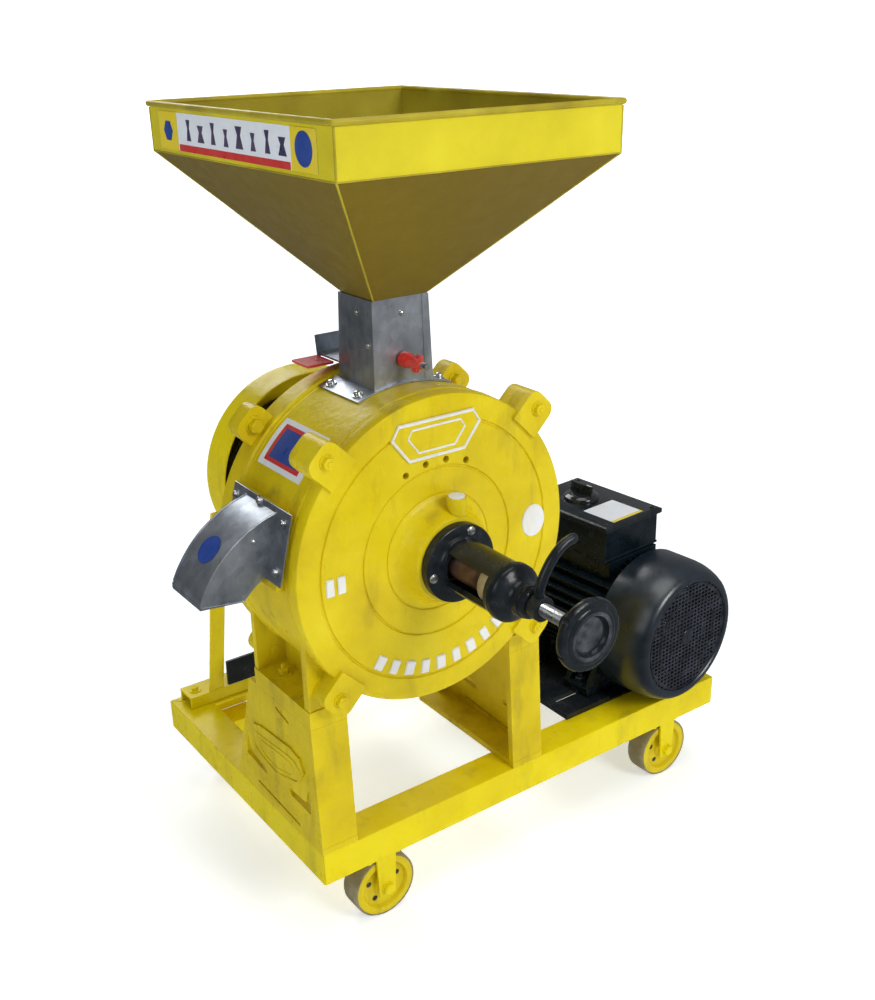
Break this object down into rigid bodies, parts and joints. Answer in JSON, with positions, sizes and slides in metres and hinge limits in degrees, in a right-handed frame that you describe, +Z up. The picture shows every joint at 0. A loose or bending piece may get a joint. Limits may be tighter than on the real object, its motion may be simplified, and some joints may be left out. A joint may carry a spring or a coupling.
{
  "type": "stone flour mill",
  "caption": "Motor driven vertical disc stone mill for grain: square hopper, feed gate, handwheel stone adjuster, side spout and belt drive on a castor frame",
  "frame": {"origin": "centre of the whole machine's footprint on the floor", "axes": "+X to the right seen from the handwheel side, +Y along the mill spindle from the handwheel to the belt side, +Z up"},
  "size_m": [0.8973, 0.8044, 1.108],
  "materials": {
    "yellow_enamel": "gloss enamel over rough casting",
    "olive_yellow_enamel": "textured enamel on sheet",
    "black_enamel": "gloss enamel",
    "motor_black": "semi-gloss",
    "galvanised_sheet": "galvanised",
    "bright_steel": "plated or machined",
    "dark_steel": "greasy machined",
    "cast_iron": "as cast",
    "emery_stone": "coarse",
    "belt_rubber": "matt",
    "red_plastic": "gloss",
    "black_plastic": "gloss"
  },
  "bodies": {
    "mill": {"frame_rail_front": "yellow_enamel", "frame_rail_rear": "yellow_enamel", "frame_rail_left": "yellow_enamel", "frame_rail_right": "yellow_enamel", "cross_channel": "yellow_enamel", "guard_post_left": "yellow_enamel", "guard_post_right": "yellow_enamel", "castor_bracket_front_left": "yellow_enamel", "castor_bracket_front_right": "yellow_enamel", "castor_bracket_rear_left": "yellow_enamel", "castor_bracket_rear_right": "yellow_enamel", "mill_stand_left": "yellow_enamel", "mill_stand_right": "yellow_enamel", "mill_casing": "yellow_enamel", "front_cover": "yellow_enamel", "rear_plate": "yellow_enamel", "cover_bolt_1": "yellow_enamel", "cover_bolt_2": "yellow_enamel", "cover_bolt_3": "yellow_enamel", "cover_bolt_4": "yellow_enamel", "bearing_housing": "yellow_enamel", "belt_guard": "yellow_enamel", "grease_cup": "yellow_enamel", "hopper": "olive_yellow_enamel", "guard_cross_bar": "black_enamel", "adjuster_housing": "black_enamel", "adjuster_cap": "black_enamel", "motor_base": "black_enamel", "motor_body": "motor_black", "fan_cowl": "motor_black", "terminal_box": "motor_black", "feed_neck": "galvanised_sheet", "discharge_spout": "galvanised_sheet", "thrust_bearing": "bright_steel", "castor_axle_front_left": "bright_steel", "castor_axle_front_right": "bright_steel", "castor_axle_rear_left": "bright_steel", "castor_axle_rear_right": "bright_steel", "fixed_stone": "emery_stone", "v_belt_front": "belt_rubber", "v_belt_rear": "belt_rubber"},
    "spindle": {"spindle": "dark_steel", "stone_carrier": "cast_iron", "running_stone": "emery_stone", "mill_pulley": "cast_iron"},
    "motor_rotor": {"motor_shaft": "bright_steel", "motor_fan": "black_plastic", "motor_pulley": "cast_iron"},
    "adjusting_screw": {"adjusting_screw": "bright_steel"},
    "handwheel": {"handwheel": "black_enamel"},
    "lock_lever": {"lock_lever": "black_enamel"},
    "feed_gate": {"feed_gate": "galvanised_sheet", "gate_grip": "red_plastic"},
    "wing_knob": {"wing_knob": "red_plastic"},
    "switch_knob": {"switch_knob": "black_plastic"},
    "wheel_front_left": {"castor_wheel_front_left": "yellow_enamel"},
    "wheel_front_right": {"castor_wheel_front_right": "yellow_enamel"},
    "wheel_rear_left": {"castor_wheel_rear_left": "yellow_enamel"},
    "wheel_rear_right": {"castor_wheel_rear_right": "yellow_enamel"}
  },
  "joints": [
    {"name": "spindle_spin", "type": "hinge", "parent": "mill", "child": "spindle", "pos_m": [-0.13615, 0.00225, 0.557], "axis": [0, 1, 0], "continuous": true},
    {"name": "motor_spin", "type": "hinge", "parent": "mill", "child": "motor_rotor", "pos_m": [0.30645, 0.24025, 0.278], "axis": [-0.0785, 0.9969, 0], "continuous": true},
    {"name": "screw_advance", "type": "slide", "parent": "mill", "child": "adjusting_screw", "axis": [0, 1, 0], "range_m": [-0.01, 0.006]},
    {"name": "handwheel_turn", "type": "hinge", "parent": "adjusting_screw", "child": "handwheel", "pos_m": [-0.13615, -0.38275, 0.557], "axis": [0, 1, 0], "range_deg": [-1440, 864]},
    {"name": "lock_lever_turn", "type": "hinge", "parent": "mill", "child": "lock_lever", "pos_m": [-0.13615, -0.31175, 0.557], "axis": [0, 1, 0], "range_deg": [-120, 0]},
    {"name": "gate_slide", "type": "slide", "parent": "mill", "child": "feed_gate", "axis": [0, 1, 0], "range_m": [0, 0.075]},
    {"name": "wing_knob_turn", "type": "hinge", "parent": "mill", "child": "wing_knob", "pos_m": [-0.13615, -0.06775, 0.799], "axis": [0, 1, 0], "range_deg": [-720, 0]},
    {"name": "switch_turn", "type": "hinge", "parent": "mill", "child": "switch_knob", "pos_m": [0.31665, 0.11065, 0.446], "axis": [0, 0, 1], "range_deg": [-90, 0]},
    {"name": "wheel_spin_front_left", "type": "hinge", "parent": "mill", "child": "wheel_front_left", "pos_m": [-0.22615, -0.07075, 0.05], "axis": [0, 1, 0], "continuous": true},
    {"name": "wheel_spin_front_right", "type": "hinge", "parent": "mill", "child": "wheel_front_right", "pos_m": [0.33485, -0.07075, 0.05], "axis": [0, 1, 0], "continuous": true},
    {"name": "wheel_spin_rear_left", "type": "hinge", "parent": "mill", "child": "wheel_rear_left", "pos_m": [-0.22615, 0.37125, 0.05], "axis": [0, 1, 0], "continuous": true},
    {"name": "wheel_spin_rear_right", "type": "hinge", "parent": "mill", "child": "wheel_rear_right", "pos_m": [0.33485, 0.37125, 0.05], "axis": [0, 1, 0], "continuous": true}
  ],
  "couplings": [
    {"joint": "motor_spin", "follows": "spindle_spin", "ratio": 2.5},
    {"joint": "screw_advance", "follows": "handwheel_turn", "m_per_rad": 0.00039789}
  ]
}
